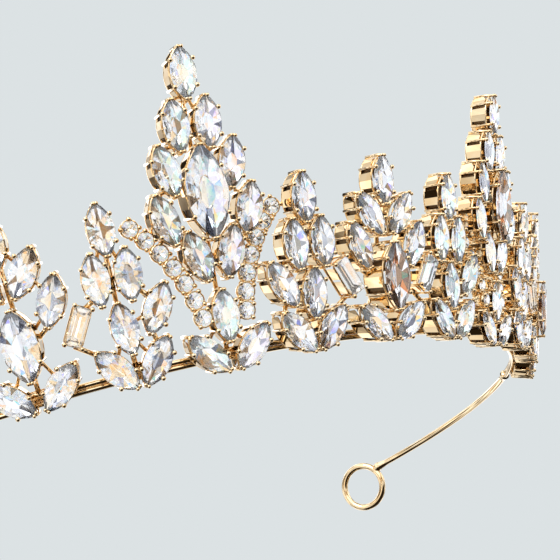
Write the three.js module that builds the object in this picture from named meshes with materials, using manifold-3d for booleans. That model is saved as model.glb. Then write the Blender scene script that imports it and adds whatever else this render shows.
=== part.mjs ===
// Bridal tiara: clear stones in open gold-plated settings, soldered in clusters onto a double wire
// band that ends, behind each ear, in a bare wire tail with a closed loop for pins or ribbon.
//
// Millimetres, +Z up, the wearer's face toward -Y. The tiara stands level on the base points of its
// front clusters and on the two end loops, all at Z = 0. The origin is the middle of its footprint.

import * as THREE from 'three';
import { mergeVertices } from 'three/addons/utils/BufferGeometryUtils.js';
import Module from 'manifold-3d';

const wasm = await Module();
wasm.setup();

// ---- driving dimensions -------------------------------------------------------------------------

// Plan of the clusters: a front arc that carries four clusters on each side of the centre one, and a
// tighter side arc that carries the other three. Radii are to the stones' girdles at the base.
const PITCH = 14.5;
const SIDE_CLUSTERS = 7;
const CLUSTERS_ON_FRONT_ARC = 4;
const FRONT_RADIUS = 85;
const SIDE_RADIUS = 78.5;
const FLARE = THREE.MathUtils.degToRad(20);

// Settings, measured along the outward normal from the girdle plane.
const SETTING_BACK = -4.0;
const SETTING_FRONT = -0.2;
const STONE_LEDGE = -0.9;
const GAP = 0.3;

// Stone outlines, tip to tip and across. A setting is larger all round by its rim.
// The large centre stones stand forward of the others by their rise.
const MARQUISE = { length: 8.4, width: 4.1, rise: 0 };
const LARGE_MARQUISE = { length: 11.3, width: 5.4, rise: 1.5 };
const GREAT_MARQUISE = { length: 14.5, width: 6.5, rise: 1.5 };
const BAGUETTE = { length: 5.9, width: 2.5, rise: 0 };
const RIM = 0.4;
const STONE_CROWN = 1.1;
const STONE_PAVILION = 2.2;
const GIRDLE = 0.3;

// Shares of a stone's outline: its table, its keel and the open well behind it.
const TABLE_SHARE = 0.58;
const KEEL_SHARE = 0.12;
const WELL_SHARE = { length: 0.8, width: 0.74 };

// A marquise's margin, whether rim or gap, is this many times longer at its two sharp tips.
const TIP_MARGIN = 1.2;

// Cutters run this far past the metal.
const CUTTER_REACH = 8;

// The curved chain of round cups at each side of a peak: its first cup, the angle from upright at
// which it sets off and how much it turns from cup to cup, in degrees.
const CUP_CHAIN = { stones: 7, diameter: 2.95, pitch: 2.85, back: -4.0, front: -0.7 };
const CHAIN_START = { u: 3.4, v: 9.6 };
const CHAIN_HEADING = 13;
const CHAIN_TURN = 6;

// Wirework.
// The band ends this share of a pitch beyond the middle of its last cluster.
const BAND_OVERHANG = 0.44;
const BAND_WIRE = 0.55;
const BAND_HEIGHTS = { lower: 2.98, upper: 3.82 };
const TAIL_WIRE = 1.35;
const TAIL_RADIUS = 49;
const TAIL_SWEEP = THREE.MathUtils.degToRad(61);
const TAIL_DROP = 4.6;
const LOOP = { outer: 11.2, wire: 1.5, drop: 3.2 };
const STRUT = { width: 0.9, depth: 0.9, front: -2.4 };

// The side peaks are the centre peak's design made a little smaller.
const SIDE_PEAK_SCALE = 0.92;

// ---- materials ----------------------------------------------------------------------------------

const gold = () => new THREE.MeshStandardMaterial({ color: 0xd9a860, roughness: 0.18, metalness: 1.0 });
const crystal = () => new THREE.MeshStandardMaterial({ color: 0xeef3f8, roughness: 0.02, metalness: 0.0 });

// ---- cluster designs ----------------------------------------------------------------------------

// u runs along the band and v up the flared face, both from the cluster's base point; lean is the
// angle, in degrees, by which a stone's upper tip leans toward +u. role 'centre' and 'top' stones
// are solids of their own; every other stone is carried by its setting.

function pair(stone) {
  return [stone, { ...stone, u: -stone.u, lean: -stone.lean }];
}

function peakDesign(scale) {
  const chain = [];
  let { u, v } = CHAIN_START;
  for (let i = 0; i < CUP_CHAIN.stones; i += 1) {
    chain.push({ u, v });
    const heading = THREE.MathUtils.degToRad(CHAIN_HEADING + CHAIN_TURN * i);
    u += CUP_CHAIN.pitch * Math.sin(heading);
    v += CUP_CHAIN.pitch * Math.cos(heading);
  }
  const stones = [
    { role: 'top', cut: MARQUISE, u: 0, v: 45.8, lean: 0 },
    ...pair({ cut: MARQUISE, u: 2.5, v: 38.2, lean: 3 }),
    ...pair({ cut: MARQUISE, u: 5.1, v: 31.8, lean: 12 }),
    ...pair({ cut: MARQUISE, u: 6.6, v: 24.7, lean: 15 }),
    { role: 'centre', cut: GREAT_MARQUISE, u: 0, v: 27.9, lean: 0 },
    ...pair({ cut: MARQUISE, u: 2.6, v: 18.7, lean: 15 }),
    { cut: MARQUISE, u: 0, v: 9.4, lean: 0 },
    ...pair({ cut: MARQUISE, u: 3.5, v: 4.2, lean: 42 }),
  ];
  const struts = [
    { from: [0, 43.5], to: [0, 34.5] },
    { from: [0, 22], to: [0, 12] },
    { from: [0, 7], to: [0, 4.2] },
    { from: [-2.4, 4.2], to: [2.4, 4.2] },
  ];
  const chains = [chain, chain.map((cup) => ({ ...cup, u: -cup.u }))];
  return scaled({ stones, chains, baguettes: [], struts }, scale);
}

function budDesign() {
  const stones = [
    { role: 'top', cut: MARQUISE, u: 0.2, v: 25.4, lean: 1 },
    { cut: MARQUISE, u: 2.6, v: 18.4, lean: 0 },
    { cut: MARQUISE, u: -2.2, v: 18.3, lean: -4 },
    { role: 'centre', cut: MARQUISE, u: 0.1, v: 10.6, lean: 5 },
    { cut: MARQUISE, u: -5.2, v: 12.5, lean: -29 },
    { cut: MARQUISE, u: 2.6, v: 5.0, lean: 38 },
    { cut: MARQUISE, u: -3.4, v: 5.0, lean: -37 },
  ];
  const baguettes = [{ u: 6.6, v: 12.5, lean: -28 }];
  const struts = [
    { from: [0.2, 22.5], to: [0.3, 14] },
    { from: [-0.2, 7.4], to: [-0.4, 4.2] },
    { from: [-2.6, 4.4], to: [1.8, 4.4] },
    { from: [7.8, 9.8], to: [4.9, 7.8] },
    { from: [5.1, 14.8], to: [3.0, 15.8] },
    { from: [-5.8, 13.4], to: [-2.8, 16.2] },
    { from: [-3.9, 9.8], to: [-4.3, 6.8] },
  ];
  return { stones, chains: [], baguettes, struts };
}

function fanDesign() {
  const stones = [
    { role: 'top', cut: MARQUISE, u: 0, v: 27.6, lean: 0 },
    ...pair({ cut: MARQUISE, u: 3.2, v: 22.2, lean: 34 }),
    ...pair({ cut: MARQUISE, u: 5.9, v: 17.2, lean: 23 }),
    { role: 'centre', cut: LARGE_MARQUISE, u: 0, v: 12.1, lean: 0 },
    ...pair({ cut: MARQUISE, u: 3.7, v: 4.9, lean: 46 }),
  ];
  const struts = [
    { from: [0, 24.5], to: [0, 17] },
    { from: [4.2, 13.8], to: [2.3, 12.4] },
    { from: [-4.2, 13.8], to: [-2.3, 12.4] },
    { from: [0, 7.6], to: [0, 4.6] },
    { from: [-2.6, 4.6], to: [2.6, 4.6] },
  ];
  return { stones, chains: [], baguettes: [], struts };
}

function scaled(design, scale) {
  const grow = (cut) => ({ ...cut, length: cut.length * scale, width: cut.width * scale });
  return {
    ...design,
    chainScale: scale,
    stones: design.stones.map((s) => ({ ...s, cut: grow(s.cut), u: s.u * scale, v: s.v * scale })),
    chains: design.chains.map((chain) => chain.map((c) => ({ u: c.u * scale, v: c.v * scale }))),
    struts: design.struts.map(({ from, to }) => ({
      from: from.map((x) => x * scale),
      to: to.map((x) => x * scale),
    })),
  };
}

const DESIGNS = [
  peakDesign(1),
  budDesign(),
  fanDesign(),
  budDesign(),
  peakDesign(SIDE_PEAK_SCALE),
  budDesign(),
  fanDesign(),
  budDesign(),
];

// ---- placing on the flared face -----------------------------------------------------------------

function arcAt(distance) {
  const frontLength = CLUSTERS_ON_FRONT_ARC * PITCH;
  const frontAngle = frontLength / FRONT_RADIUS;
  if (distance <= frontLength) {
    return { x: 0, y: 0, radius: FRONT_RADIUS, angle: distance / FRONT_RADIUS };
  }
  const inset = FRONT_RADIUS - SIDE_RADIUS;
  return {
    x: inset * Math.sin(frontAngle),
    y: -inset * Math.cos(frontAngle),
    radius: SIDE_RADIUS,
    angle: frontAngle + (distance - frontLength) / SIDE_RADIUS,
  };
}

// Local frame of the flared face at a distance round the base: X along the band, Y up the face and Z
// outward, with its origin on the base line.
function faceFrame(side, distance) {
  const arc = arcAt(distance);
  const angle = side * arc.angle;
  const radial = new THREE.Vector3(Math.sin(angle), -Math.cos(angle), 0);
  const along = new THREE.Vector3(Math.cos(angle), Math.sin(angle), 0);
  const up = radial.clone().multiplyScalar(Math.sin(FLARE)).setZ(Math.cos(FLARE));
  const normal = radial.clone().multiplyScalar(Math.cos(FLARE)).setZ(-Math.sin(FLARE));
  const origin = radial.multiplyScalar(arc.radius).add(new THREE.Vector3(side * arc.x, arc.y, 0));
  return new THREE.Matrix4().makeBasis(along, up, normal).setPosition(origin);
}

// Place on a cluster's own flat face. Clusters of the left half mirror those of the right.
function onFace(cluster, { u, v, lean }) {
  const sense = cluster.side * cluster.flip;
  const turn = new THREE.Matrix4().makeRotationZ(THREE.MathUtils.degToRad(-sense * lean));
  return turn.setPosition(sense * u, v, 0);
}

// ---- solids -------------------------------------------------------------------------------------

function toManifold(geometry) {
  const bare = geometry.clone();
  bare.deleteAttribute('normal');
  bare.deleteAttribute('uv');
  const merged = mergeVertices(bare, 1e-5);
  const vertProperties = new Float32Array(merged.attributes.position.array);
  const triVerts = new Uint32Array(merged.index.array);
  return new wasm.Manifold(new wasm.Mesh({ numProp: 3, vertProperties, triVerts }));
}

function toGeometry(manifold) {
  const mesh = manifold.getMesh();
  const geometry = new THREE.BufferGeometry();
  geometry.setAttribute('position', new THREE.BufferAttribute(mesh.vertProperties.slice(), 3));
  geometry.setIndex(new THREE.BufferAttribute(mesh.triVerts.slice(), 1));
  geometry.computeVertexNormals();
  return geometry;
}

function marquiseOutline(length, width) {
  const radius = (length * length + width * width) / (4 * width);
  const half = Math.asin(length / 2 / radius);
  const shape = new THREE.Shape();
  shape.absarc(width / 2 - radius, 0, radius, -half, half, false);
  shape.absarc(radius - width / 2, 0, radius, Math.PI - half, Math.PI + half, false);
  return shape;
}

function boxOutline(length, width) {
  const shape = new THREE.Shape();
  shape.moveTo(-width / 2, -length / 2);
  shape.lineTo(width / 2, -length / 2);
  shape.lineTo(width / 2, length / 2);
  shape.lineTo(-width / 2, length / 2);
  shape.closePath();
  return shape;
}

// A ribbon of the given width along a run of cups, reaching half a cup beyond both end cups.
function ribbonOutline(chain, width) {
  const points = chain.map((cup) => new THREE.Vector2(cup.u, cup.v));
  const last = points.length - 1;
  const directions = points.map((p, i) => {
    const next = points[Math.min(i + 1, last)];
    const previous = points[Math.max(i - 1, 0)];
    return next.clone().sub(previous).normalize();
  });
  points[0].addScaledVector(directions[0], -width / 2);
  points[last].addScaledVector(directions[last], width / 2);
  const offset = (sign) => points.map((p, i) => {
    const across = new THREE.Vector2(directions[i].y, -directions[i].x);
    return p.clone().addScaledVector(across, (sign * width) / 2);
  });
  return new THREE.Shape([...offset(1), ...offset(-1).reverse()]);
}

function prism(shape, back, front, segments = 2) {
  const options = { depth: front - back, bevelEnabled: false, curveSegments: segments };
  return new THREE.ExtrudeGeometry(shape, options).translate(0, 0, back);
}

// A cut stone: table, girdle and a pavilion that narrows to a short keel, lofted between copies of
// one outline.
function stoneGeometry(outline) {
  const levels = [
    { z: STONE_CROWN, scale: TABLE_SHARE },
    { z: GIRDLE / 2, scale: 1 },
    { z: -GIRDLE / 2, scale: 1 },
    { z: -STONE_PAVILION, scale: KEEL_SHARE },
  ];
  const ring = outline.getPoints(2);
  const points = ring.filter((p, i) => i === 0 || p.distanceTo(ring[i - 1]) > 1e-6);
  if (points[0].distanceTo(points[points.length - 1]) < 1e-6) {
    points.pop();
  }
  const count = points.length;
  const positions = levels.flatMap((l) => points.flatMap((p) => [p.x * l.scale, p.y * l.scale, l.z]));
  const index = [];
  for (let level = 0; level + 1 < levels.length; level += 1) {
    for (let i = 0; i < count; i += 1) {
      const a = level * count + i;
      const b = level * count + ((i + 1) % count);
      index.push(a, a + count, b, b, a + count, b + count);
    }
  }
  const last = (levels.length - 1) * count;
  for (let i = 1; i + 1 < count; i += 1) {
    index.push(0, i, i + 1, last, last + i + 1, last + i);
  }
  const geometry = new THREE.BufferGeometry();
  geometry.setAttribute('position', new THREE.Float32BufferAttribute(positions, 3));
  geometry.setIndex(index);
  return geometry;
}

// ---- settings -----------------------------------------------------------------------------------

function hasOwnSolid(stone) {
  return stone.role !== undefined;
}

function settingPieces(cluster, design) {
  const place = (geometry, spot) => geometry.applyMatrix4(onFace(cluster, spot));
  const chainWidth = CUP_CHAIN.diameter * (design.chainScale ?? 1);
  const marquises = design.stones.map((stone) => {
    const { length, width, rise } = stone.cut;
    const outline = marquiseOutline(length + 2 * TIP_MARGIN * RIM, width + 2 * RIM);
    return place(prism(outline, SETTING_BACK, SETTING_FRONT + rise), stone);
  });
  const chains = design.chains.map((chain) => {
    const outline = ribbonOutline(chain, chainWidth);
    return place(prism(outline, CUP_CHAIN.back, CUP_CHAIN.front), { u: 0, v: 0, lean: 0 });
  });
  const frames = design.baguettes.map((spot) => {
    const outline = boxOutline(BAGUETTE.length + 2 * RIM, BAGUETTE.width + 2 * RIM);
    return place(prism(outline, SETTING_BACK, SETTING_FRONT), spot);
  });
  const struts = design.struts.map(({ from, to }) => {
    const du = to[0] - from[0];
    const dv = to[1] - from[1];
    const lean = THREE.MathUtils.radToDeg(Math.atan2(du, dv));
    const middle = { u: (from[0] + to[0]) / 2, v: (from[1] + to[1]) / 2, lean };
    const outline = boxOutline(Math.hypot(du, dv), STRUT.width);
    return place(prism(outline, STRUT.front - STRUT.depth, STRUT.front), middle);
  });
  return [...marquises, ...chains, ...frames, ...struts];
}

// What a stone with a solid of its own needs clear: its seat in front of the ledge, with a gap all
// round, and the open well of the setting behind it.
function stoneClearance(cluster, stone, outlineOf) {
  const { length, width, rise } = stone.cut;
  const seat = outlineOf(length + 2 * TIP_MARGIN * GAP, width + 2 * GAP);
  const well = outlineOf(length * WELL_SHARE.length, width * WELL_SHARE.width);
  return [
    prism(seat, rise + STONE_LEDGE, CUTTER_REACH),
    prism(well, SETTING_BACK - CUTTER_REACH, CUTTER_REACH),
  ].map((geometry) => geometry.applyMatrix4(onFace(cluster, stone)));
}

function ownStones(cluster, design) {
  const marquises = design.stones.filter(hasOwnSolid).map((stone) => ({
    stone,
    outlineOf: marquiseOutline,
    name: `${cluster.name}_${stone.role}_stone`,
  }));
  const baguettes = design.baguettes.map((spot) => ({
    stone: { ...spot, cut: BAGUETTE },
    outlineOf: boxOutline,
    name: `${cluster.name}_baguette`,
  }));
  return [...marquises, ...baguettes];
}

function clusterName(side, index) {
  if (index === 0) {
    return 'centre_peak';
  }
  const kinds = ['', 'bud', 'fan', 'bud', 'peak', 'bud', 'fan', 'bud'];
  return `${side < 0 ? 'left' : 'right'}_${index}_${kinds[index]}`;
}

function namedMesh(name, geometry, material) {
  const mesh = new THREE.Mesh(geometry, material);
  mesh.name = name;
  return mesh;
}

function buildCluster(side, index) {
  const flip = index % 4 === 3 ? -1 : 1;
  const cluster = { side, flip, name: clusterName(side, index) };
  const design = DESIGNS[index];
  const own = ownStones(cluster, design);
  const metal = wasm.Manifold.union(settingPieces(cluster, design).map(toManifold));
  const clearances = own.flatMap(({ stone, outlineOf }) => stoneClearance(cluster, stone, outlineOf));
  const setting = metal.subtract(wasm.Manifold.union(clearances.map(toManifold)));
  const group = new THREE.Group();
  group.add(namedMesh(`${cluster.name}_setting`, toGeometry(setting), gold()));
  own.forEach(({ stone, outlineOf, name }) => {
    const mesh = namedMesh(name, stoneGeometry(outlineOf(stone.cut.length, stone.cut.width)), crystal());
    mesh.applyMatrix4(onFace(cluster, stone));
    mesh.position.z = stone.cut.rise;
    group.add(mesh);
  });
  group.applyMatrix4(faceFrame(side, index * PITCH));
  return group;
}

// ---- wirework -----------------------------------------------------------------------------------

function wireSection(diameter, sides) {
  const corners = Array.from({ length: sides }, (_, i) => {
    const angle = (2 * Math.PI * (i + 0.5)) / sides;
    const radius = diameter / 2;
    return new THREE.Vector2(radius * Math.cos(angle), radius * Math.sin(angle));
  });
  return new THREE.Shape(corners);
}

class PathCurve extends THREE.Curve {
  constructor(at) {
    super();
    this.at = at;
  }

  getPoint(t, target = new THREE.Vector3()) {
    return target.copy(this.at(t));
  }
}

function wire(at, diameter, steps, sides = 6) {
  const options = { steps, bevelEnabled: false, extrudePath: new PathCurve(at) };
  return new THREE.ExtrudeGeometry(wireSection(diameter, sides), options);
}

// The band runs behind the settings as far as the outer edge of the last cluster.
const BAND_END = (SIDE_CLUSTERS + BAND_OVERHANG) * PITCH;
const BAND_DEPTH = SETTING_BACK - GAP - BAND_WIRE / 2;

function bandPoint(distance, height) {
  const side = distance < 0 ? -1 : 1;
  return new THREE.Vector3(0, height, BAND_DEPTH).applyMatrix4(faceFrame(side, Math.abs(distance)));
}

function bandWire(name, height) {
  const steps = 36;
  const at = (t) => bandPoint((2 * t - 1) * BAND_END, height);
  return namedMesh(name, wire(at, BAND_WIRE, steps), gold());
}

// A tail leaves the end of the band along its direction there, curves gently back and inward, and
// sinks toward the loop.
function tailFrame(side) {
  const height = (BAND_HEIGHTS.lower + BAND_HEIGHTS.upper) / 2;
  const start = bandPoint(side * BAND_END, height);
  const angle = arcAt(BAND_END).angle;
  const forward = new THREE.Vector3(side * Math.cos(angle), Math.sin(angle), 0);
  const inward = new THREE.Vector3(-side * Math.sin(angle), Math.cos(angle), 0);
  return { start, forward, inward };
}

function tailPoint(side, t) {
  const { start, forward, inward } = tailFrame(side);
  const turn = TAIL_SWEEP * t;
  const point = start.clone();
  point.addScaledVector(forward, GAP + TAIL_RADIUS * Math.sin(turn));
  point.addScaledVector(inward, TAIL_RADIUS * (1 - Math.cos(turn)));
  point.z -= TAIL_DROP * t ** 1.5;
  return point;
}

function tailWire(side) {
  const steps = 14;
  const name = side < 0 ? 'left_tail_wire' : 'right_tail_wire';
  return namedMesh(name, wire((t) => tailPoint(side, t), TAIL_WIRE, steps), gold());
}

// The loop hangs in the upright plane of the tail's end, a gap beyond it and lower by its own drop,
// so that it touches the ground first. Its wire has flat cheeks.
function endLoop(side) {
  const mean = (LOOP.outer - LOOP.wire) / 2;
  const sides = 8;
  const turns = 16;
  const profile = wireSection(LOOP.wire / Math.cos(Math.PI / sides), sides).getPoints();
  const ring = profile.map((p) => new THREE.Vector2(mean + p.x, p.y));
  ring.push(ring[0].clone());
  const geometry = new THREE.LatheGeometry(ring, turns);
  const mesh = namedMesh(side < 0 ? 'left_end_loop' : 'right_end_loop', geometry, gold());

  const end = tailPoint(side, 1);
  const heading = end.clone().sub(tailPoint(side, 0.98)).setZ(0).normalize();
  const reach = LOOP.outer / 2 + GAP;
  const level = Math.sqrt(reach * reach - LOOP.drop * LOOP.drop);
  mesh.position.copy(end).addScaledVector(heading, level);
  mesh.position.z -= LOOP.drop;
  const axis = new THREE.Vector3(-heading.y, heading.x, 0);
  mesh.quaternion.setFromUnitVectors(new THREE.Vector3(0, 1, 0), axis);
  return mesh;
}

// ---- the whole tiara, set level on its base points and loops ------------------------------------

function lowestPoint(root, keep) {
  const point = new THREE.Vector3();
  let lowest = null;
  root.updateMatrixWorld(true);
  root.traverse((mesh) => {
    if (!mesh.isMesh || !keep(mesh.name)) {
      return;
    }
    const position = mesh.geometry.attributes.position;
    for (let i = 0; i < position.count; i += 1) {
      point.fromBufferAttribute(position, i).applyMatrix4(mesh.matrixWorld);
      if (lowest === null || point.z < lowest.z) {
        lowest = point.clone();
      }
    }
  });
  return lowest;
}

function stand(root, body) {
  for (let pass = 0; pass < 4; pass += 1) {
    const front = lowestPoint(root, (name) => name === 'centre_peak_setting');
    const rear = lowestPoint(root, (name) => name.endsWith('end_loop'));
    body.rotateX(-Math.atan2(rear.z - front.z, rear.y - front.y));
  }
  const box = new THREE.Box3().setFromObject(root, true);
  const centre = box.getCenter(new THREE.Vector3());
  root.position.set(-centre.x, -centre.y, -box.min.z);
}

const body = new THREE.Group();
body.add(buildCluster(1, 0));
for (let index = 1; index <= SIDE_CLUSTERS; index += 1) {
  body.add(buildCluster(-1, index), buildCluster(1, index));
}
body.add(bandWire('band_wire_lower', BAND_HEIGHTS.lower), bandWire('band_wire_upper', BAND_HEIGHTS.upper));
[-1, 1].forEach((side) => body.add(tailWire(side), endLoop(side)));

const group = new THREE.Group();
group.add(body);
stand(group, body);

export default group;
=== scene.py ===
"""Bridal tiara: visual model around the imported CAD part. Lengths below are in millimetres."""
import math

import bpy
from mathutils import Matrix, Vector


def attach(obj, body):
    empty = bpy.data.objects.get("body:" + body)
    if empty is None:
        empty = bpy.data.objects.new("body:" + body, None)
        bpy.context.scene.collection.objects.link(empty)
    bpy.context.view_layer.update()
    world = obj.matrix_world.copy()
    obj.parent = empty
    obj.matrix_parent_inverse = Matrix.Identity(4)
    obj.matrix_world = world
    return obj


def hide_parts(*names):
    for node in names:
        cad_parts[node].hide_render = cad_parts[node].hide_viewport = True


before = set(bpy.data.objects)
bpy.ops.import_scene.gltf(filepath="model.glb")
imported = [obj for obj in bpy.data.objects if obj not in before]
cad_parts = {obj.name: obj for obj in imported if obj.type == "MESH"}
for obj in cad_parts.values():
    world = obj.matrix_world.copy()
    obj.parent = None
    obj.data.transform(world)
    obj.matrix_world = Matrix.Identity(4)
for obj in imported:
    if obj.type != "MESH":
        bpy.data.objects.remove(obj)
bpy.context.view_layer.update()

MM = 0.001

# ---- driving dimensions, as in the CAD part ------------------------------------------------------

PITCH = 14.5
SIDE_CLUSTERS = 7
CLUSTERS_ON_FRONT_ARC = 4
FRONT_RADIUS = 85.0
SIDE_RADIUS = 78.5
FLARE = math.radians(20)
SETTING_BACK = -4.0
GAP = 0.3
MARQUISE = {"length": 8.4, "width": 4.1, "rise": 0.0}
LARGE = {"length": 11.3, "width": 5.4, "rise": 1.5}
GREAT = {"length": 14.5, "width": 6.5, "rise": 1.5}
BAGUETTE = {"length": 5.9, "width": 2.5, "rise": 0.0}
CHAIN = {
    "stones": 7, "diameter": 2.95, "pitch": 2.85, "start": (3.4, 9.6), "heading": 13, "turn": 6,
}
SIDE_PEAK_SCALE = 0.92
BAND_WIRE = 0.55
BAND_HEIGHTS = (2.98, 3.82)
BAND_END = (SIDE_CLUSTERS + 0.44) * PITCH
BAND_DEPTH = SETTING_BACK - GAP - BAND_WIRE / 2
TAIL_WIRE = 1.35
TAIL_RADIUS = 49.0
TAIL_SWEEP = math.radians(61)
TAIL_DROP = 4.6
LOOP = {"outer": 11.2, "wire": 1.5, "drop": 3.2}

# The tiara stands on its front base points and its end loops. The CAD part works out this tilt and
# shift from its lowest points, and they are repeated here.
STANCE_SHIFT = Vector((0, 37.00036, 6.33003))
STANCE_TILT = math.radians(4.77082)
STANCE = Matrix.Translation(STANCE_SHIFT) @ Matrix.Rotation(STANCE_TILT, 4, "X")

# The cups are stamped sheet: walls with slots at the side claws, a base rim and rod claws.
WALL_TOP = -0.75
WALL_BACK = -3.8
WALL = 0.32
CUP_TAPER = 0.95
BASE_RIM = 0.45
CLAW = 0.40
BEAD = 0.74
TIP_BEAD = 0.60
SIDE_CLAW_SHARE = 0.42
SLOT_HALF = 0.125
SEAT_WIRE = 0.34
SEAT_WIRE_DEPTH = -0.95
BASKET_FLOOR = -3.6
STRUT_DEPTH = -2.9
STRUT_WIRE = 0.8
TIE_WIRE = 0.6

# A brilliant cut: heights as shares of the width, rings of corners as shares of the outline.
CROWN_HEIGHT = 0.12
PAVILION_DEPTH = 0.23
GIRDLE_HEIGHT = 0.03
TABLE_SHARE = 0.66
STAR_SHARE = 0.85
STAR_HEIGHT = 0.55
HALF_SHARE = 0.40
HALF_DEPTH = 0.66
MARQUISE_KEEL = 0.34

# The band's two wires touch in the real thing, and the cup chains lean back as they climb.
BAND_WIRE_SEEN = 0.84
CHAIN_DEPTH = -0.7
CHAIN_LEAN = -0.5
ROUND_SHARE = 0.84

# The photograph's viewpoint: from the left of the front, from below, and rolled.
CAMERA_LENS = 86.03
CAMERA_SPOT = Vector((-60.823, -226.358, -63.759))
CAMERA_AZIMUTH = math.radians(-22.02954)
CAMERA_ELEVATION = math.radians(-21.85692)
CAMERA_ROLL = math.radians(-19.10949)


# ---- designs: u along the band, v up the face, lean in degrees toward +u -------------------------

def pair(cut, u, v, lean):
    return [("", cut, u, v, lean), ("", cut, -u, v, -lean)]


def peak_design(scale):
    u, v = CHAIN["start"]
    chain = []
    for i in range(CHAIN["stones"]):
        chain.append((u, v))
        heading = math.radians(CHAIN["heading"] + CHAIN["turn"] * i)
        u += CHAIN["pitch"] * math.sin(heading)
        v += CHAIN["pitch"] * math.cos(heading)
    stones = [
        ("top", MARQUISE, 0, 45.8, 0),
        *pair(MARQUISE, 2.5, 38.2, 3),
        *pair(MARQUISE, 5.1, 31.8, 12),
        *pair(MARQUISE, 6.6, 24.7, 15),
        ("centre", GREAT, 0, 27.9, 0),
        *pair(MARQUISE, 2.6, 18.7, 15),
        ("", MARQUISE, 0, 9.4, 0),
        *pair(MARQUISE, 3.5, 4.2, 42),
    ]
    struts = [
        ((0, 43.5), (0, 34.5)), ((0, 22), (0, 12)), ((0, 7), (0, 4.2)), ((-2.4, 4.2), (2.4, 4.2)),
    ]
    grow = lambda cut: {**cut, "length": cut["length"] * scale, "width": cut["width"] * scale}
    return {
        "scale": scale,
        "stones": [(r, grow(c), u * scale, v * scale, lean) for r, c, u, v, lean in stones],
        "chains": [[(s * u * scale, v * scale) for u, v in chain] for s in (1, -1)],
        "struts": [tuple((x * scale, y * scale) for x, y in ends) for ends in struts],
        "baguettes": [],
    }


def bud_design():
    return {
        "scale": 1,
        "stones": [
            ("top", MARQUISE, 0.2, 25.4, 1),
            ("", MARQUISE, 2.6, 18.4, 0),
            ("", MARQUISE, -2.2, 18.3, -4),
            ("centre", MARQUISE, 0.1, 10.6, 5),
            ("", MARQUISE, -5.2, 12.5, -29),
            ("", MARQUISE, 2.6, 5.0, 38),
            ("", MARQUISE, -3.4, 5.0, -37),
        ],
        "chains": [],
        "struts": [
            ((0.2, 22.5), (0.3, 14)), ((-0.2, 7.4), (-0.4, 4.2)), ((-2.6, 4.4), (1.8, 4.4)),
            ((7.8, 9.8), (4.9, 7.8)), ((5.1, 14.8), (3.0, 15.8)), ((-5.8, 13.4), (-2.8, 16.2)),
            ((-3.9, 9.8), (-4.3, 6.8)),
        ],
        "baguettes": [(6.6, 12.5, -28)],
    }


def fan_design():
    return {
        "scale": 1,
        "stones": [
            ("top", MARQUISE, 0, 27.6, 0),
            *pair(MARQUISE, 3.2, 22.2, 34),
            *pair(MARQUISE, 5.9, 17.2, 23),
            ("centre", LARGE, 0, 12.1, 0),
            *pair(MARQUISE, 3.7, 4.9, 46),
        ],
        "chains": [],
        "struts": [
            ((0, 24.5), (0, 17)), ((4.2, 13.8), (2.3, 12.4)), ((-4.2, 13.8), (-2.3, 12.4)),
            ((0, 7.6), (0, 4.6)), ((-2.6, 4.6), (2.6, 4.6)),
        ],
        "baguettes": [],
    }


KINDS = ("peak", "bud", "fan", "bud", "peak", "bud", "fan", "bud")
DESIGNS = (
    peak_design(1), bud_design(), fan_design(), bud_design(),
    peak_design(SIDE_PEAK_SCALE), bud_design(), fan_design(), bud_design(),
)


# ---- placing -------------------------------------------------------------------------------------

def arc_at(distance):
    front_length = CLUSTERS_ON_FRONT_ARC * PITCH
    front_angle = front_length / FRONT_RADIUS
    if distance <= front_length:
        return 0.0, 0.0, FRONT_RADIUS, distance / FRONT_RADIUS
    inset = FRONT_RADIUS - SIDE_RADIUS
    angle = front_angle + (distance - front_length) / SIDE_RADIUS
    return inset * math.sin(front_angle), -inset * math.cos(front_angle), SIDE_RADIUS, angle


def face_frame(side, distance):
    x, y, radius, angle = arc_at(distance)
    a = side * angle
    radial = Vector((math.sin(a), -math.cos(a), 0))
    along = Vector((math.cos(a), math.sin(a), 0))
    up = radial * math.sin(FLARE) + Vector((0, 0, math.cos(FLARE)))
    normal = radial * math.cos(FLARE) - Vector((0, 0, math.sin(FLARE)))
    origin = radial * radius + Vector((side * x, y, 0))
    m = Matrix.Identity(4)
    for i, axis in enumerate((along, up, normal, origin)):
        m.col[i][:3] = axis
    return m


def metres(m):
    """A placement in millimetres as one in metres."""
    out = m.copy()
    out.translation = m.translation * MM
    return out


# ---- mesh building -------------------------------------------------------------------------------

class Shell:
    """One piece: vertices in millimetres, and faces with a smooth flag and a material slot each."""

    def __init__(self):
        self.verts, self.faces, self.smooth, self.slots = [], [], [], []

    def add(self, verts, faces, smooth=True, slots=None):
        base = len(self.verts)
        self.verts += [Vector(v) for v in verts]
        self.faces += [tuple(base + i for i in f) for f in faces]
        self.smooth += [smooth] * len(faces)
        self.slots += slots or [0] * len(faces)

    def placed(self, m, other):
        base = len(self.verts)
        self.verts += [m @ v for v in other.verts]
        self.faces += [tuple(base + i for i in f) for f in other.faces]
        self.smooth += other.smooth
        self.slots += other.slots

    def mesh(self, name, *materials):
        data = bpy.data.meshes.new(name)
        data.from_pydata([v * MM for v in self.verts], [], self.faces)
        data.polygons.foreach_set("use_smooth", self.smooth)
        data.polygons.foreach_set("material_index", self.slots)
        for material in materials:
            data.materials.append(material)
        data.update()
        return data


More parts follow.
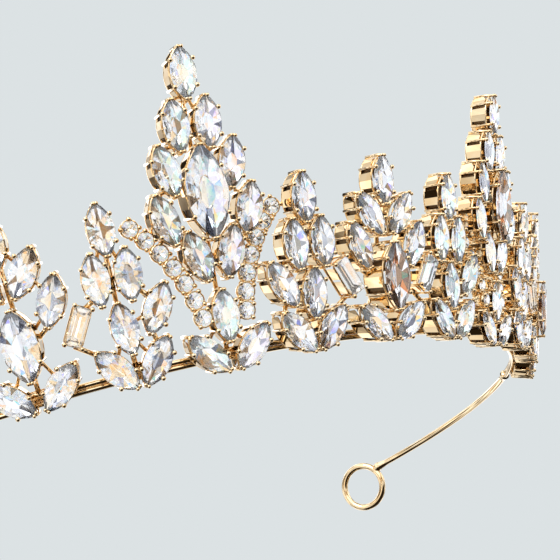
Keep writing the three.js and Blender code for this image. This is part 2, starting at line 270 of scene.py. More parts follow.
def tube(shell, path, diameters, sides=8, closed=False):
    """A round wire along a path, with its own diameter at each point."""
    n = len(path)
    if not isinstance(diameters, (list, tuple)):
        diameters = [diameters] * n
    verts, faces = [], []
    normal = None
    for i, p in enumerate(path):
        before = path[(i - 1) % n] if closed or i else p
        after = path[(i + 1) % n] if closed or i + 1 < n else p
        t = (after - before).normalized()
        if normal is None:
            normal = t.orthogonal().normalized()
        normal = (normal - t * normal.dot(t)).normalized()
        across = t.cross(normal)
        r = diameters[i] / 2
        for k in range(sides):
            a = 2 * math.pi * k / sides
            verts.append(p + (normal * math.cos(a) + across * math.sin(a)) * r)
    for i in range(n if closed else n - 1):
        a, b = i * sides, ((i + 1) % n) * sides
        for k in range(sides):
            k2 = (k + 1) % sides
            faces.append((a + k, a + k2, b + k2, b + k))
    if not closed:
        faces.append(tuple(reversed(range(sides))))
        faces.append(tuple((n - 1) * sides + k for k in range(sides)))
    shell.add(verts, faces)


def ball(shell, centre, diameter, squash=1.0, rings=6, sides=10):
    """A closed bead, flattened along Z by squash."""
    r = diameter / 2
    verts = [centre + Vector((0, 0, -r * squash))]
    for i in range(1, rings):
        a = math.pi * i / rings
        for k in range(sides):
            b = 2 * math.pi * k / sides
            x, y = math.sin(a) * math.cos(b), math.sin(a) * math.sin(b)
            verts.append(centre + Vector((x, y, -math.cos(a) * squash)) * r)
    verts.append(centre + Vector((0, 0, r * squash)))
    top = len(verts) - 1
    faces = []
    for k in range(sides):
        k2 = (k + 1) % sides
        faces.append((0, 1 + k2, 1 + k))
        faces.append((top, top - sides + k, top - sides + k2))
        for i in range(rings - 2):
            a, b = 1 + i * sides, 1 + (i + 1) * sides
            faces.append((a + k, a + k2, b + k2, b + k))
    shell.add(verts, faces)


# ---- outlines and stones -------------------------------------------------------------------------

# Where a marquise's facet corners fall between its waist (0) and its tip (1).
FACET_SPACING = (0.0, 0.28, 0.56, 0.80, 1.0)


def marquise_point(length, width, share, sx, sy):
    radius = (length * length + width * width) / (4 * width)
    y = share * length / 2
    x = math.sqrt(max(radius * radius - y * y, 0)) - (radius - width / 2)
    return Vector((sx * max(x, 0), sy * y, 0))


def marquise_ring(cut):
    """Sixteen corners, counter-clockwise from the waist at +X."""
    ring = []
    for j in range(16):
        quarter, step = divmod(j, 4)
        share = FACET_SPACING[step] if quarter % 2 == 0 else FACET_SPACING[4 - step]
        sx = 1 if quarter in (0, 3) else -1
        sy = 1 if quarter in (0, 1) else -1
        ring.append(marquise_point(cut["length"], cut["width"], share, sx, sy))
    return ring


def round_ring(cut):
    r = cut["width"] / 2
    angles = [math.pi * j / 8 for j in range(16)]
    return [Vector((r * math.cos(a), r * math.sin(a), 0)) for a in angles]


def brilliant(ring, width, keel=0.0):
    """A brilliant cut on sixteen girdle corners: table, stars, kites, girdle, lower halves and mains.
    A marquise's mains meet in a keel along its length, keel long as a share of the stone."""
    crown, pavilion = CROWN_HEIGHT * width, PAVILION_DEPTH * width
    girdle = GIRDLE_HEIGHT * width
    at = lambda j, scale, z: Vector((ring[j % 16].x * scale, ring[j % 16].y * scale, z))
    half_length = max(p.y for p in ring)
    verts = [at(2 * k, TABLE_SHARE, crown) for k in range(8)]
    verts += [at(2 * k + 1, STAR_SHARE, crown * STAR_HEIGHT) for k in range(8)]
    verts += [at(j, 1.0, girdle / 2) for j in range(16)]
    verts += [at(j, 1.0, -girdle / 2) for j in range(16)]
    verts += [at(2 * k + 1, HALF_SHARE, -pavilion * HALF_DEPTH) for k in range(8)]
    ends = (1, -1) if keel else (0,)
    verts += [Vector((0, sign * keel * half_length, -pavilion)) for sign in ends]
    table, star, upper, lower, half, north = 0, 8, 16, 32, 48, 56
    south = north + 1 if keel else north
    faces = [tuple(range(8))]
    for k in range(8):
        k1, k0 = (k + 1) % 8, (k - 1) % 8
        g, g1, g2 = 2 * k, 2 * k + 1, (2 * k + 2) % 16
        faces.append((table + k, star + k, table + k1))
        faces.append((table + k, star + k0, upper + g, star + k))
        faces.append((star + k, upper + g, upper + g1))
        faces.append((star + k, upper + g1, upper + g2))
        faces.append((lower + g, half + k, lower + g1))
        faces.append((lower + g1, half + k, lower + g2))
        # Without a keel, south is north. The mains at the waist span the keel.
        low = (north,) if k < 4 else (south,)
        if keel and k in (0, 4):
            low = (south, north) if k == 0 else (north, south)
        faces.append((lower + g, half + k0, *low, half + k))
        for j, j2 in ((g, g1), (g1, g2)):
            faces.append((upper + j, lower + j, lower + j2, upper + j2))
    shell = Shell()
    shell.add(verts, faces, smooth=False, slots=[int(is_pavilion(verts, f)) for f in faces])
    return shell


def is_pavilion(verts, face):
    """Whether a facet lies behind the girdle, where the stone is silvered."""
    heights = [verts[i].z for i in face]
    return max(heights) < 0 and max(heights) - min(heights) > 0.1


def step_cut(cut):
    """A baguette: a table, two steps of crown, a girdle and two steps of pavilion down to a keel."""
    length, width = cut["length"], cut["width"]
    levels = [
        (0.74, 0.56, 0.75), (0.88, 0.79, 0.50), (1.0, 1.0, 0.10), (1.0, 1.0, -0.10),
        (0.80, 0.64, -1.0), (0.5, 0.10, -1.75),
    ]
    verts, faces = [], []
    for sy, sx, z in levels:
        x, y = width / 2 * sx, length / 2 * sy
        verts += [Vector(p) for p in ((x, -y, z), (x, y, z), (-x, y, z), (-x, -y, z))]
    faces.append((0, 1, 2, 3))
    for i in range(len(levels) - 1):
        for k in range(4):
            k2 = (k + 1) % 4
            faces.append((4 * i + k, 4 * i + 4 + k, 4 * i + 4 + k2, 4 * i + k2))
    last = 4 * (len(levels) - 1)
    faces.append((last + 3, last + 2, last + 1, last))
    shell = Shell()
    shell.add(verts, faces, smooth=False, slots=[int(is_pavilion(verts, f)) for f in faces])
    return shell


# ---- stamped cups with claws ---------------------------------------------------------------------

def outline_point(cut, margin, share, sx, sy):
    return marquise_point(cut["length"] + 2.2 * margin, cut["width"] + 2 * margin, share, sx, sy)


def smooth_outline(cut, margin, per_quarter=8):
    """The outline as a closed run of points, counter-clockwise from the waist at +X."""
    points = []
    for quarter in range(4):
        sx = 1 if quarter in (0, 3) else -1
        sy = 1 if quarter in (0, 1) else -1
        for i in range(per_quarter):
            share = i / per_quarter if quarter % 2 == 0 else 1 - i / per_quarter
            points.append(outline_point(cut, margin, share, sx, sy))
    return points


def wall_panel(shell, points, tops, slot=0):
    """A sheet wall on the outline through points, its top edge at tops, drawn in toward the back."""
    n = len(points)
    inner = [p - p.normalized() * WALL for p in points]
    verts = []
    for p, q, top in zip(points, inner, tops):
        verts += [Vector((p.x, p.y, top)), Vector((q.x, q.y, top))]
        verts += [Vector((r.x * CUP_TAPER, r.y * CUP_TAPER, WALL_BACK)) for r in (q, p)]
    faces = [(3, 2, 1, 0)]
    for i in range(n - 1):
        for k in range(4):
            k2 = (k + 1) % 4
            faces.append((4 * i + k, 4 * i + k2, 4 * i + 4 + k2, 4 * i + 4 + k))
    last = 4 * (n - 1)
    faces.append((last, last + 1, last + 2, last + 3))
    shell.add(verts, faces, smooth=False, slots=[slot] * len(faces))


def claw(shell, foot, seat, rise, bead):
    """A rod that stands on the cup and ends in a bead over the stone's edge."""
    inward = -Vector((seat.x, seat.y, 0)).normalized()
    shoulder = Vector((seat.x, seat.y, rise - 0.15))
    head = shoulder + inward * 0.12 + Vector((0, 0, 0.38))
    tube(shell, [foot, shoulder, head], [CLAW * 1.15, CLAW, CLAW * 0.9], sides=8)
    ball(shell, head, bead, squash=0.9, rings=8, sides=12)


def marquise_basket(cut):
    shell = Shell()
    rise = cut["rise"]
    top, dip = rise + WALL_TOP, rise + WALL_TOP - 0.55
    side = SIDE_CLAW_SHARE
    for sx in (1, -1):
        # The waist panel is creased in the middle. Beyond each slot a panel runs toward the open tip.
        shares = [-side + SLOT_HALF, 0, side - SLOT_HALF]
        waist = [outline_point(cut, 0.1, abs(t), sx, 1 if t >= 0 else -1) for t in shares]
        tops = [top - 0.5 * (abs(t) / side) ** 2 for t in shares]
        wall_panel(shell, waist if sx > 0 else waist[::-1], tops)
        for sy in (1, -1):
            shares = [side + SLOT_HALF, 0.72, 0.89]
            points = [outline_point(cut, 0.1, t, sx, sy) for t in shares]
            fall = [dip, dip + 0.1, dip - 0.5]
            order = 1 if sx * sy > 0 else -1
            wall_panel(shell, points[::order], fall[::order])
            # A dark sheet set behind each slot is painted shade, standing for the shadowed inside of
            # the cup.
            shares = [side + t * SLOT_HALF * 1.5 for t in (-1, 0, 1)]
            shade_liner = [outline_point(cut, -0.35, t, sx, sy) for t in shares]
            wall_panel(shell, shade_liner[::order], [dip - 0.1] * 3, slot=1)
    rim = [
        Vector((p.x * CUP_TAPER, p.y * CUP_TAPER, WALL_BACK + 0.1))
        for p in smooth_outline(cut, -0.1)
    ]
    tube(shell, rim, BASE_RIM, sides=8, closed=True)
    # A thin seat wire ties the claws together just behind the girdle.
    seat_wire = [
        Vector((p.x * 0.93, p.y * 0.95, rise + SEAT_WIRE_DEPTH)) for p in smooth_outline(cut, 0.0)
    ]
    tube(shell, seat_wire, SEAT_WIRE, sides=6, closed=True)
    for sy in (1, -1):
        for sx in (1, -1):
            seat = outline_point(cut, 0.2, side + 0.06, sx, sy)
            foot = Vector((seat.x * CUP_TAPER, seat.y * CUP_TAPER, WALL_BACK))
            claw(shell, foot, seat, rise, BEAD)
        # One rod climbs to each tip and carries two small beads side by side.
        tip = cut["length"] / 2
        foot = Vector((0, sy * tip * CUP_TAPER, WALL_BACK))
        head = Vector((0, sy * (tip - 0.24), rise + 0.14))
        bend = foot.lerp(head, 0.55) + Vector((0, sy * 0.12, 0))
        tube(shell, [foot, bend, head], [0.75, 0.6, 0.5], sides=8)
        for sx in (1, -1):
            centre = head + Vector((sx * 0.28, -sy * 0.04, 0.08))
            ball(shell, centre, TIP_BEAD, squash=0.95, rings=8, sides=12)
    return shell


def baguette_basket(cut):
    shell = Shell()
    x, y = cut["width"] / 2 + 0.1, cut["length"] / 2 + 0.1
    for sx in (1, -1):
        for y0, y1 in ((-0.78, -0.1), (0.1, 0.78)):
            points = [Vector((sx * x, y * t, 0)) for t in (y0, (y0 + y1) / 2, y1)]
            tops = [WALL_TOP - 0.5, WALL_TOP, WALL_TOP - 0.5]
            wall_panel(shell, points if sx > 0 else points[::-1], tops)
    for sy in (1, -1):
        points = [Vector((x * t, sy * y, 0)) for t in (0.6, 0, -0.6)]
        tops = [WALL_TOP - 0.6] * 3
        wall_panel(shell, points if sy > 0 else points[::-1], tops)
    corners = [Vector(p) for p in ((x, -y, 0), (x, y, 0), (-x, y, 0), (-x, -y, 0))]
    base_rim = (WALL_BACK + 0.1, CUP_TAPER, BASE_RIM)
    seat_wire = (SEAT_WIRE_DEPTH, 0.92, SEAT_WIRE)
    for z, scale, wire in (base_rim, seat_wire):
        points = []
        for i, c in enumerate(corners):
            d = corners[(i + 1) % 4]
            for t in (0.08, 0.5, 0.92):
                p = c.lerp(d, t) * scale
                points.append(Vector((p.x, p.y, z)))
        tube(shell, points, wire, sides=8, closed=True)
    for c in corners:
        foot = Vector((c.x * CUP_TAPER, c.y * CUP_TAPER, WALL_BACK))
        claw(shell, foot, c, 0.0, BEAD)
    return shell


def cup(shell, u, v, depth, diameter, heading):
    """A tapered cup with a turned-over rim and four bead claws, square to the chain."""
    levels = [(0.62, -2.2), (0.95, -0.9), (1.0, 0.05), (0.86, 0.12), (0.82, -0.5), (0.5, -2.0)]
    sides = 16
    verts, faces = [], []
    for scale, z in levels:
        r = diameter / 2 * scale
        for k in range(sides):
            a = 2 * math.pi * k / sides
            verts.append(Vector((u + r * math.cos(a), v + r * math.sin(a), depth + z)))
    for i in range(len(levels)):
        a, b = i * sides, ((i + 1) % len(levels)) * sides
        for k in range(sides):
            k2 = (k + 1) % sides
            faces.append((a + k, a + k2, b + k2, b + k))
    shell.add(verts, faces)
    for k in range(4):
        a = heading + math.pi / 4 + math.pi / 2 * k
        r = diameter / 2 * 0.98
        ball(shell, Vector((u + r * math.cos(a), v + r * math.sin(a), depth + 0.28)), 0.78)


def strut(shell, start, end):
    ends = [Vector((p[0], p[1], STRUT_DEPTH)) for p in (start, end)]
    tube(shell, ends, STRUT_WIRE, sides=8)


def back_ties(shell, design):
    """Rods between the feet of neighbouring baskets, and posts from the lowest ones to the band."""
    stones = [(u, v) for _, _, u, v, _ in design["stones"]]
    for i, (u, v) in enumerate(stones):
        others = stones[:i] + stones[i + 1:]
        near = sorted(others, key=lambda p: math.hypot(p[0] - u, p[1] - v))[:2]
        for p in near:
            ends = [Vector((u, v, BASKET_FLOOR)), Vector((p[0], p[1], BASKET_FLOOR))]
            tube(shell, ends, TIE_WIRE, sides=6)
    for u in (2.6, -2.6):
        tube(shell, [Vector((u, 3.6, BASKET_FLOOR)), Vector((u, 3.4, BAND_DEPTH))], 1.0, sides=8)
        ball(shell, Vector((u, 3.4, BAND_DEPTH + 0.1)), 1.7, squash=0.6)


# ---- materials -----------------------------------------------------------------------------------

def new_material(name):
    material = bpy.data.materials.new(name)
    material.use_nodes = True
    nodes = material.node_tree.nodes
    return material, material.node_tree, nodes["Principled BSDF"]


def ramp(tree, source, stops, interpolation="LINEAR"):
    node = tree.nodes.new("ShaderNodeValToRGB")
    node.color_ramp.interpolation = interpolation
    elements = node.color_ramp.elements
    while len(elements) > 1:
        elements.remove(elements[-1])
    elements[0].position, elements[0].color = stops[0]
    for position, colour in stops[1:]:
        elements.new(position).color = colour
    tree.links.new(source, node.inputs["Fac"])
    return node


def noise(tree, scale, detail=2.0):
    coords = tree.nodes.new("ShaderNodeTexCoord")
    node = tree.nodes.new("ShaderNodeTexNoise")
    node.inputs["Scale"].default_value = scale
    node.inputs["Detail"].default_value = detail
    tree.links.new(coords.outputs["Object"], node.inputs["Vector"])
    return node


def grey(value):
    return (value, value, value, 1)


def facet_value(tree, step):
    """A value from 0 to 1 that is one and the same over a flat facet and differs between facets."""
    geometry = tree.nodes.new("ShaderNodeNewGeometry")
    snap = tree.nodes.new("ShaderNodeVectorMath")
    snap.operation = "SNAP"
    snap.inputs[1].default_value = (step, step, step)
    tree.links.new(geometry.outputs["True Normal"], snap.inputs[0])
    white = tree.nodes.new("ShaderNodeTexWhiteNoise")
    tree.links.new(snap.outputs["Vector"], white.inputs["Vector"])
    return white.outputs["Value"]


def gold_material(name, light, deep, rough_low, rough_high, grain):
    """Polished plating: patchy tone, faint polishing haze and a fine ripple."""
    material, tree, shader = new_material(name)
    tone = ramp(tree, noise(tree, 380).outputs["Fac"], [(0.35, (*deep, 1)), (0.65, (*light, 1))])
    tree.links.new(tone.outputs["Color"], shader.inputs["Base Color"])
    haze_stops = [(0.3, grey(rough_low)), (0.75, grey(rough_high))]
    haze = ramp(tree, noise(tree, 900, 4.0).outputs["Fac"], haze_stops)
    tree.links.new(haze.outputs["Color"], shader.inputs["Roughness"])
    bump = tree.nodes.new("ShaderNodeBump")
    bump.inputs["Strength"].default_value = 0.05
    bump.inputs["Distance"].default_value = 0.00002
    tree.links.new(noise(tree, grain, 3.0).outputs["Fac"], bump.inputs["Height"])
    tree.links.new(bump.outputs["Normal"], shader.inputs["Normal"])
    shader.inputs["Metallic"].default_value = 1.0
    return material


def crystal_material(name):
    """Clear cut stone with faint spots of spectral colour on some facets: painted fire, standing for
    light split by the cut.
    """
    material, tree, shader = new_material(name)
    clear = (0.985, 0.99, 1.0, 1)
    # Painted fire: facets picked by their orientation get spectral colour, in spots, in place of
    # light split by the cut.
    painted_fire_hues = ramp(tree, facet_value(tree, 0.06), [
        (0.0, clear), (0.64, (1.0, 0.74, 0.46, 1)), (0.68, clear), (0.76, (0.60, 0.95, 0.90, 1)),
        (0.79, clear), (0.85, (0.80, 0.72, 1.0, 1)), (0.87, (0.62, 0.82, 1.0, 1)),
        (0.90, (1.0, 0.96, 0.66, 1)), (0.93, clear),
    ], "CONSTANT")
    painted_fire_patches = ramp(tree, noise(tree, 1100).outputs["Fac"], [(0.50, grey(0)), (0.56, grey(1))])
    mix = tree.nodes.new("ShaderNodeMix")
    mix.data_type = "RGBA"
    tree.links.new(painted_fire_patches.outputs["Color"], mix.inputs["Factor"])
    for socket in mix.inputs:
        if socket.name == "A" and socket.type == "RGBA":
            socket.default_value = clear
        if socket.name == "B" and socket.type == "RGBA":
            tree.links.new(painted_fire_hues.outputs["Color"], socket)
    result = [s for s in mix.outputs if s.type == "RGBA"][0]
    tree.links.new(result, shader.inputs["Base Color"])
    shader.inputs["Transmission Weight"].default_value = 1.0
    shader.inputs["Roughness"].default_value = 0.0
    shader.inputs["IOR"].default_value = 1.43
    return material


def silvered_material(name, stops):
    """The stone's back facets: a silver mirror with a painted reflection on each facet, one tone
    each, from white to dark, some of them golden.
    """
    material, tree, shader = new_material(name)
    coloured = [(position, (*tone, 1)) for position, tone in stops]
    tones = ramp(tree, facet_value(tree, 0.02), coloured, "CONSTANT")
    tree.links.new(tones.outputs["Color"], shader.inputs["Base Color"])
    haze = ramp(tree, noise(tree, 1200).outputs["Fac"], [(0.3, grey(0.01)), (0.7, grey(0.05))])
    tree.links.new(haze.outputs["Color"], shader.inputs["Roughness"])
    shader.inputs["Metallic"].default_value = 0.8
    return material


GOLD = gold_material("gold_claws", (1.0, 0.80, 0.52), (0.95, 0.69, 0.38), 0.015, 0.06, 1500)
# Painted shade: a dark gold for the sheets behind the claw slots, where the inside of a cup lies in
# shadow.
GOLD_PAINTED_SHADE = gold_material(
    "gold_painted_shade_in_slots", (0.16, 0.10, 0.05), (0.06, 0.035, 0.015), 0.25, 0.4, 1500)
GOLD_WIRE = gold_material("gold_wire", (1.0, 0.81, 0.53), (0.94, 0.69, 0.39), 0.02, 0.07, 900)
CRYSTAL = crystal_material("crystal_cut")
CRYSTAL_SMALL = crystal_material("crystal_round")
# The tones below are painted reflections on the silvered back, one per facet.
SILVERED = silvered_material("crystal_silvered", [
    (0.0, (1.0, 1.0, 1.0)), (0.36, (0.84, 0.87, 0.93)), (0.52, (1.0, 0.99, 0.96)),
    (0.66, (0.52, 0.54, 0.60)), (0.73, (1.0, 0.93, 0.80)), (0.82, (0.40, 0.28, 0.18)),
    (0.87, (0.95, 0.97, 1.0)), (0.95, (0.20, 0.21, 0.26)), (0.975, (1.0, 0.80, 0.55)),
])
SILVERED_WARM_REFLECTION = silvered_material("crystal_silvered_warm_reflection", [
    (0.0, (0.95, 0.95, 0.97)), (0.28, (0.36, 0.25, 0.18)), (0.62, (0.85, 0.86, 0.90)),
    (0.80, (0.80, 0.36, 0.18)), (0.88, (0.55, 0.42, 0.30)),
])
SILVERED_PALE = silvered_material("crystal_silvered_pale", [
    (0.0, (1.0, 0.99, 0.98)), (0.45, (1.0, 0.95, 0.88)), (0.65, (0.84, 0.87, 0.93)),
    (0.85, (0.99, 0.90, 0.78)),
])
STONES_WITH_WARM_REFLECTION = ("right_2_fan_centre", "right_4_peak_centre", "right_6_fan_centre")


# ---- pieces --------------------------------------------------------------------------------------

def place(name, data, matrix, replaced=()):
    piece = bpy.data.objects.new(name, data)
    bpy.context.scene.collection.objects.link(piece)
    piece.matrix_world = metres(matrix)
    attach(piece, "root")
    if replaced:
        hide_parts(*replaced)


MESHES = {}


def stone_mesh(kind, cut, warm=False):
    key = (kind, round(cut["length"], 3), round(cut["width"], 3), warm)
    if key not in MESHES:
        label = f"{kind}_{cut['length']:.1f}x{cut['width']:.1f}".replace(".", "_")
        if kind == "baguette":
            shell, material = step_cut(cut), CRYSTAL
        elif kind == "round":
            shell, material = brilliant(round_ring(cut), cut["width"]), CRYSTAL_SMALL
        else:
            shell, material = brilliant(marquise_ring(cut), cut["width"], MARQUISE_KEEL), CRYSTAL
        # A warm back carries painted warm reflections.
        if warm:
            back = SILVERED_WARM_REFLECTION
        else:
            back = SILVERED if kind == "marquise" else SILVERED_PALE
        MESHES[key] = shell.mesh(label, material, back)
    return MESHES[key]


BASKETS = {}


def basket(cut):
    key = (round(cut["length"], 3), cut["rise"])
    if key not in BASKETS:
        BASKETS[key] = baguette_basket(cut) if cut is BAGUETTE else marquise_basket(cut)
    return BASKETS[key]


def on_face(sense, u, v, lean, rise=0.0):
    turn = Matrix.Rotation(math.radians(-sense * lean), 4, "Z")
    return Matrix.Translation((sense * u, v, rise)) @ turn


def build_cluster(side, index):
    design = DESIGNS[index]
    sense = side * (-1 if index % 4 == 3 else 1)
    word = "left" if side < 0 else "right"
    name = f"{word}_{index}_{KINDS[index]}" if index else "centre_peak"
    home = STANCE @ face_frame(side, index * PITCH)
    metal = Shell()
    count = 0
    for role, cut, u, v, lean in design["stones"]:
        metal.placed(on_face(sense, u, v, lean), basket(cut))
        spot = home @ on_face(sense, u, v, lean, cut["rise"])
        data = stone_mesh("marquise", cut, f"{name}_{role}" in STONES_WITH_WARM_REFLECTION)
        if role:
            place(f"{name}_{role}_marquise", data, spot, [f"{name}_{role}_stone"])
        else:
            count += 1
            place(f"{name}_marquise_{count:02d}", data, spot)
    for u, v, lean in design["baguettes"]:
        metal.placed(on_face(sense, u, v, lean), basket(BAGUETTE))
        spot = home @ on_face(sense, u, v, lean)
        data = stone_mesh("baguette", BAGUETTE)
        place(f"{name}_step_cut", data, spot, [f"{name}_baguette"])
    bead = CHAIN["diameter"] * design["scale"]
    round_cut = {"length": bead * ROUND_SHARE, "width": bead * ROUND_SHARE}
    local = Shell()
    for number, chain in enumerate(design["chains"]):
        depths = [CHAIN_DEPTH + CHAIN_LEAN * i for i in range(len(chain))]
        for i, (u, v) in enumerate(chain):
            near, far = chain[max(i - 1, 0)], chain[min(i + 1, len(chain) - 1)]
            cup(local, u, v, depths[i], bead, math.atan2(far[1] - near[1], far[0] - near[0]))
            spot = home @ on_face(sense, u, v, 0, depths[i] + 0.12)
            data = stone_mesh("round", round_cut)
            place(f"{name}_round_{number + 1}{i + 1}", data, spot)
        tube(local, [Vector((u, v, z - 1.9)) for (u, v), z in zip(chain, depths)], 1.0, sides=8)
    for start, end in design["struts"]:
        strut(local, start, end)
    back_ties(local, design)
    metal.placed(Matrix.Diagonal((sense, 1, 1, 1)), local)
    # A mirrored part has its faces turned the right way out again.
    if sense < 0:
        start = len(metal.faces) - len(local.faces)
        metal.faces[start:] = [tuple(reversed(f)) for f in metal.faces[start:]]
    data = metal.mesh(f"{name}_clawwork", GOLD, GOLD_PAINTED_SHADE)
    place(f"{name}_clawwork", data, home, [f"{name}_setting"])


def band_point(distance, height):
    side = -1 if distance < 0 else 1
    return face_frame(side, abs(distance)) @ Vector((0, height, BAND_DEPTH))


def band(name, height):
    steps = 260
    shell = Shell()
    path = [band_point((2 * i / steps - 1) * BAND_END, height) for i in range(steps + 1)]
    tube(shell, path, BAND_WIRE_SEEN, sides=16)
    place(name + "_round", shell.mesh(name, GOLD_WIRE), STANCE, [name])


def tail_point(side, t):
    start = band_point(side * BAND_END, sum(BAND_HEIGHTS) / 2)
    angle = arc_at(BAND_END)[3]
    forward = Vector((side * math.cos(angle), math.sin(angle), 0))
    inward = Vector((-side * math.sin(angle), math.cos(angle), 0))
    turn = TAIL_SWEEP * t
    ahead, aside = GAP + TAIL_RADIUS * math.sin(turn), TAIL_RADIUS * (1 - math.cos(turn))
    point = start + forward * ahead + inward * aside
    point.z -= TAIL_DROP * t ** 1.5
    return point


def tail_and_loop(side):
    word = "left" if side < 0 else "right"
    steps = 90
    shell = Shell()
    path = [tail_point(side, i / steps) for i in range(steps + 1)]
    # The tail is thicker where it is soldered to the loop and over the ends of the band.
    diameters = []
    for i in range(steps + 1):
        at_loop = max(0.0, 1 - (1 - i / steps) * 22)
        at_band = max(0.0, 1 - i / steps * 26)
        diameters.append(TAIL_WIRE * (1 + 0.45 * at_loop + 0.5 * at_band))
    tube(shell, path, diameters, sides=14)
    data = shell.mesh(f"{word}_tail_round", GOLD_WIRE)
    place(f"{word}_tail_round", data, STANCE, [f"{word}_tail_wire"])

    end = path[-1]
    heading = end - tail_point(side, 0.98)
    heading.z = 0
    heading.normalize()
    reach = LOOP["outer"] / 2 + GAP
    centre = end + heading * math.sqrt(reach ** 2 - LOOP["drop"] ** 2) - Vector((0, 0, LOOP["drop"]))
    mean = (LOOP["outer"] - LOOP["wire"]) / 2
    ring = Shell()
    points = []
    for i in range(96):
        a = 2 * math.pi * i / 96
        points.append(centre + (heading * math.cos(a) + Vector((0, 0, 1)) * math.sin(a)) * mean)
    tube(ring, points, LOOP["wire"], sides=16, closed=True)
    # Solder fillet between tail and loop.
    toward = (centre - end).normalized()
    fillet = [end + toward * step for step in (-0.9, 0.1, 0.9)]
    tube(ring, fillet, [1.5, 2.1, 1.7], sides=14)
    data = ring.mesh(f"{word}_loop_round", GOLD_WIRE)
    place(f"{word}_loop_round", data, STANCE, [f"{word}_end_loop"])


build_cluster(1, 0)
for index in range(1, SIDE_CLUSTERS + 1):
    build_cluster(-1, index)
    build_cluster(1, index)
band("band_wire_lower", BAND_HEIGHTS[0])
band("band_wire_upper", BAND_HEIGHTS[1])
tail_and_loop(-1)
tail_and_loop(1)


# ---- stage ---------------------------------------------------------------------------------------

BACKGROUND = (0.716, 0.761, 0.776)
# In reflections: where the white softbox hangs and how far it spreads, and the dark flag below.
SOFTBOX_FACING = (-0.35, -0.80, 0.48)
SOFTBOX_EDGE = 0.2
FLAG_FACING = (0.0, 0.25, 0.75)
FLAG_EDGE = 0.86


def floor():
    """A pale floor, clear from below, where the camera is, and clear in mirror reflections."""
    half = 3.0
    corners = [(-half, -half, 0), (half, -half, 0), (half, half, 0), (-half, half, 0)]
    data = bpy.data.meshes.new("floor")
    data.from_pydata(corners, [], [(0, 1, 2, 3)])
    material, tree, shader = new_material("floor")
    tones = [(0.3, (0.74, 0.76, 0.77, 1)), (0.7, (0.79, 0.80, 0.81, 1))]
    tone = ramp(tree, noise(tree, 6).outputs["Fac"], tones)
    tree.links.new(tone.outputs["Color"], shader.inputs["Base Color"])
    shader.inputs["Roughness"].default_value = 0.6
    geometry = tree.nodes.new("ShaderNodeNewGeometry")
    path = tree.nodes.new("ShaderNodeLightPath")
    either = tree.nodes.new("ShaderNodeMath")
    either.operation = "MAXIMUM"
    tree.links.new(geometry.outputs["Backfacing"], either.inputs[0])
    tree.links.new(path.outputs["Is Glossy Ray"], either.inputs[1])
    clear = tree.nodes.new("ShaderNodeBsdfTransparent")
    mix = tree.nodes.new("ShaderNodeMixShader")
    tree.links.new(either.outputs[0], mix.inputs[0])
    tree.links.new(shader.outputs[0], mix.inputs[1])
    tree.links.new(clear.outputs[0], mix.inputs[2])
    tree.links.new(mix.outputs[0], tree.nodes["Material Output"].inputs["Surface"])
    data.materials.append(material)
    plane = bpy.data.objects.new("floor", data)
    bpy.context.scene.collection.objects.link(plane)


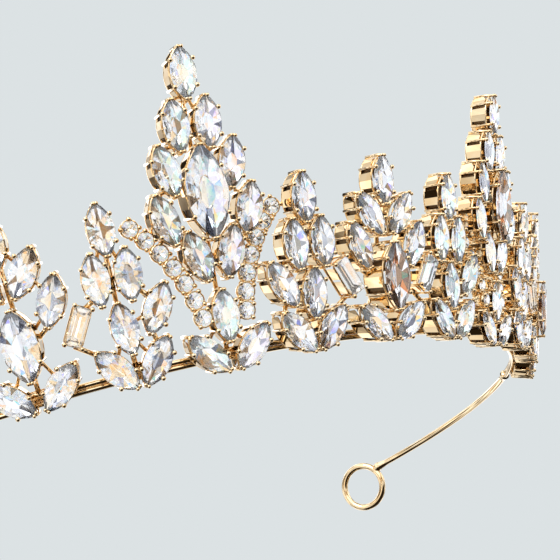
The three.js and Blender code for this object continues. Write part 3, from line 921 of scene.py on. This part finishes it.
def studio():
    """A plain pale room for the camera. Gold meets bright panels and dark flags; what leaves a stone
    meets a brighter room with a few narrow coloured gels, which the facets break into fire."""
    world = bpy.data.worlds.new("studio")
    bpy.context.scene.world = world
    world.use_nodes = True
    tree = world.node_tree
    plain = tree.nodes["Background"]
    plain.inputs["Color"].default_value = (*BACKGROUND, 1)
    coords = tree.nodes.new("ShaderNodeTexCoord")

    def room(scale, detail, stops, facing=None):
        pattern = tree.nodes.new("ShaderNodeTexNoise")
        pattern.inputs["Scale"].default_value = scale
        pattern.inputs["Detail"].default_value = detail
        tree.links.new(coords.outputs["Generated"], pattern.inputs["Vector"])
        source = pattern.outputs["Fac"]
        if facing:
            # A broad white softbox in that direction.
            toward = tree.nodes.new("ShaderNodeVectorMath")
            toward.operation = "DOT_PRODUCT"
            toward.inputs[1].default_value = facing
            tree.links.new(coords.outputs["Generated"], toward.inputs[0])
            softbox = tree.nodes.new("ShaderNodeMath")
            softbox.operation = "SUBTRACT"
            softbox.inputs[1].default_value = SOFTBOX_EDGE
            tree.links.new(toward.outputs["Value"], softbox.inputs[0])
            brighter = tree.nodes.new("ShaderNodeMath")
            brighter.operation = "MAXIMUM"
            tree.links.new(softbox.outputs[0], brighter.inputs[0])
            tree.links.new(source, brighter.inputs[1])
            # Below and in front the room is dark, as under a table edge.
            below = tree.nodes.new("ShaderNodeVectorMath")
            below.operation = "DOT_PRODUCT"
            below.inputs[1].default_value = FLAG_FACING
            tree.links.new(coords.outputs["Generated"], below.inputs[0])
            flag = tree.nodes.new("ShaderNodeMath")
            flag.operation = "ADD"
            flag.inputs[1].default_value = FLAG_EDGE
            tree.links.new(below.outputs["Value"], flag.inputs[0])
            darker = tree.nodes.new("ShaderNodeMath")
            darker.operation = "MINIMUM"
            tree.links.new(flag.outputs[0], darker.inputs[0])
            tree.links.new(brighter.outputs[0], darker.inputs[1])
            source = darker.outputs[0]
        panels = ramp(tree, source, stops)
        out = tree.nodes.new("ShaderNodeBackground")
        tree.links.new(panels.outputs["Color"], out.inputs["Color"])
        return out

    metal = room(3.6, 0.3, [
        (0.37, (0.020, 0.014, 0.008, 1)), (0.41, (0.16, 0.14, 0.12, 1)),
        (0.45, (0.52, 0.50, 0.48, 1)), (0.51, grey(0.84)), (0.58, grey(1.02)), (0.61, grey(1.6)),
    ], facing=SOFTBOX_FACING)
    glass = room(6.5, 1.0, [
        (0.30, (0.42, 0.44, 0.48, 1)), (0.35, (0.86, 0.88, 0.91, 1)), (0.40, (1.18, 1.18, 1.17, 1)),
        (0.41, (1.45, 0.60, 0.20, 1)), (0.42, (1.4, 1.05, 0.40, 1)), (0.428, (1.20, 1.20, 1.19, 1)),
        (0.56, (1.18, 1.18, 1.19, 1)), (0.567, (0.25, 1.0, 0.90, 1)), (0.577, (0.40, 0.55, 1.35, 1)),
        (0.585, (0.90, 0.60, 1.2, 1)), (0.592, (1.4, 1.4, 1.4, 1)),
    ])
    path = tree.nodes.new("ShaderNodeLightPath")
    through = tree.nodes.new("ShaderNodeMixShader")
    tree.links.new(path.outputs["Is Transmission Ray"], through.inputs[0])
    tree.links.new(metal.outputs[0], through.inputs[1])
    tree.links.new(glass.outputs[0], through.inputs[2])
    mix = tree.nodes.new("ShaderNodeMixShader")
    tree.links.new(path.outputs["Is Camera Ray"], mix.inputs[0])
    tree.links.new(through.outputs[0], mix.inputs[1])
    tree.links.new(plain.outputs[0], mix.inputs[2])
    tree.links.new(mix.outputs[0], tree.nodes["World Output"].inputs["Surface"])


def area_light(name, location, target, size, power):
    data = bpy.data.lights.new(name, "AREA")
    data.shape, data.size, data.energy = "DISK", size, power
    lamp = bpy.data.objects.new(name, data)
    bpy.context.scene.collection.objects.link(lamp)
    lamp.location = location
    lamp.rotation_euler = (Vector(target) - Vector(location)).to_track_quat("-Z", "Y").to_euler()


def camera():
    """At the photograph's angle: in front, low and to the left, tilted with the object."""
    data = bpy.data.cameras.new("camera")
    data.sensor_width = 36.0
    data.lens = CAMERA_LENS
    data.clip_start = 0.005
    obj = bpy.data.objects.new("camera", data)
    bpy.context.scene.collection.objects.link(obj)
    m = Matrix.Identity(4)
    across, rise = math.cos(CAMERA_ELEVATION), math.sin(CAMERA_ELEVATION)
    level = Vector((math.cos(CAMERA_AZIMUTH), math.sin(CAMERA_AZIMUTH), 0))
    back = Vector((level.y * across, -level.x * across, rise))
    upright = back.cross(level)
    right = level * math.cos(CAMERA_ROLL) + upright * math.sin(CAMERA_ROLL)
    for i, axis in enumerate((right, back.cross(right), back)):
        m.col[i][:3] = axis
    m.translation = CAMERA_SPOT * MM
    obj.matrix_world = m
    bpy.context.scene.camera = obj


floor()
studio()
area_light("key", (-0.35, -0.45, 0.55), (0, 0, 0.02), 0.35, 1.3)
area_light("fill", (0.55, -0.25, 0.35), (0, 0, 0.02), 0.5, 0.7)
area_light("rim", (0.1, 0.6, 0.4), (0, 0, 0.02), 0.3, 0.35)
camera()
bpy.context.scene.view_settings.view_transform = "Standard"
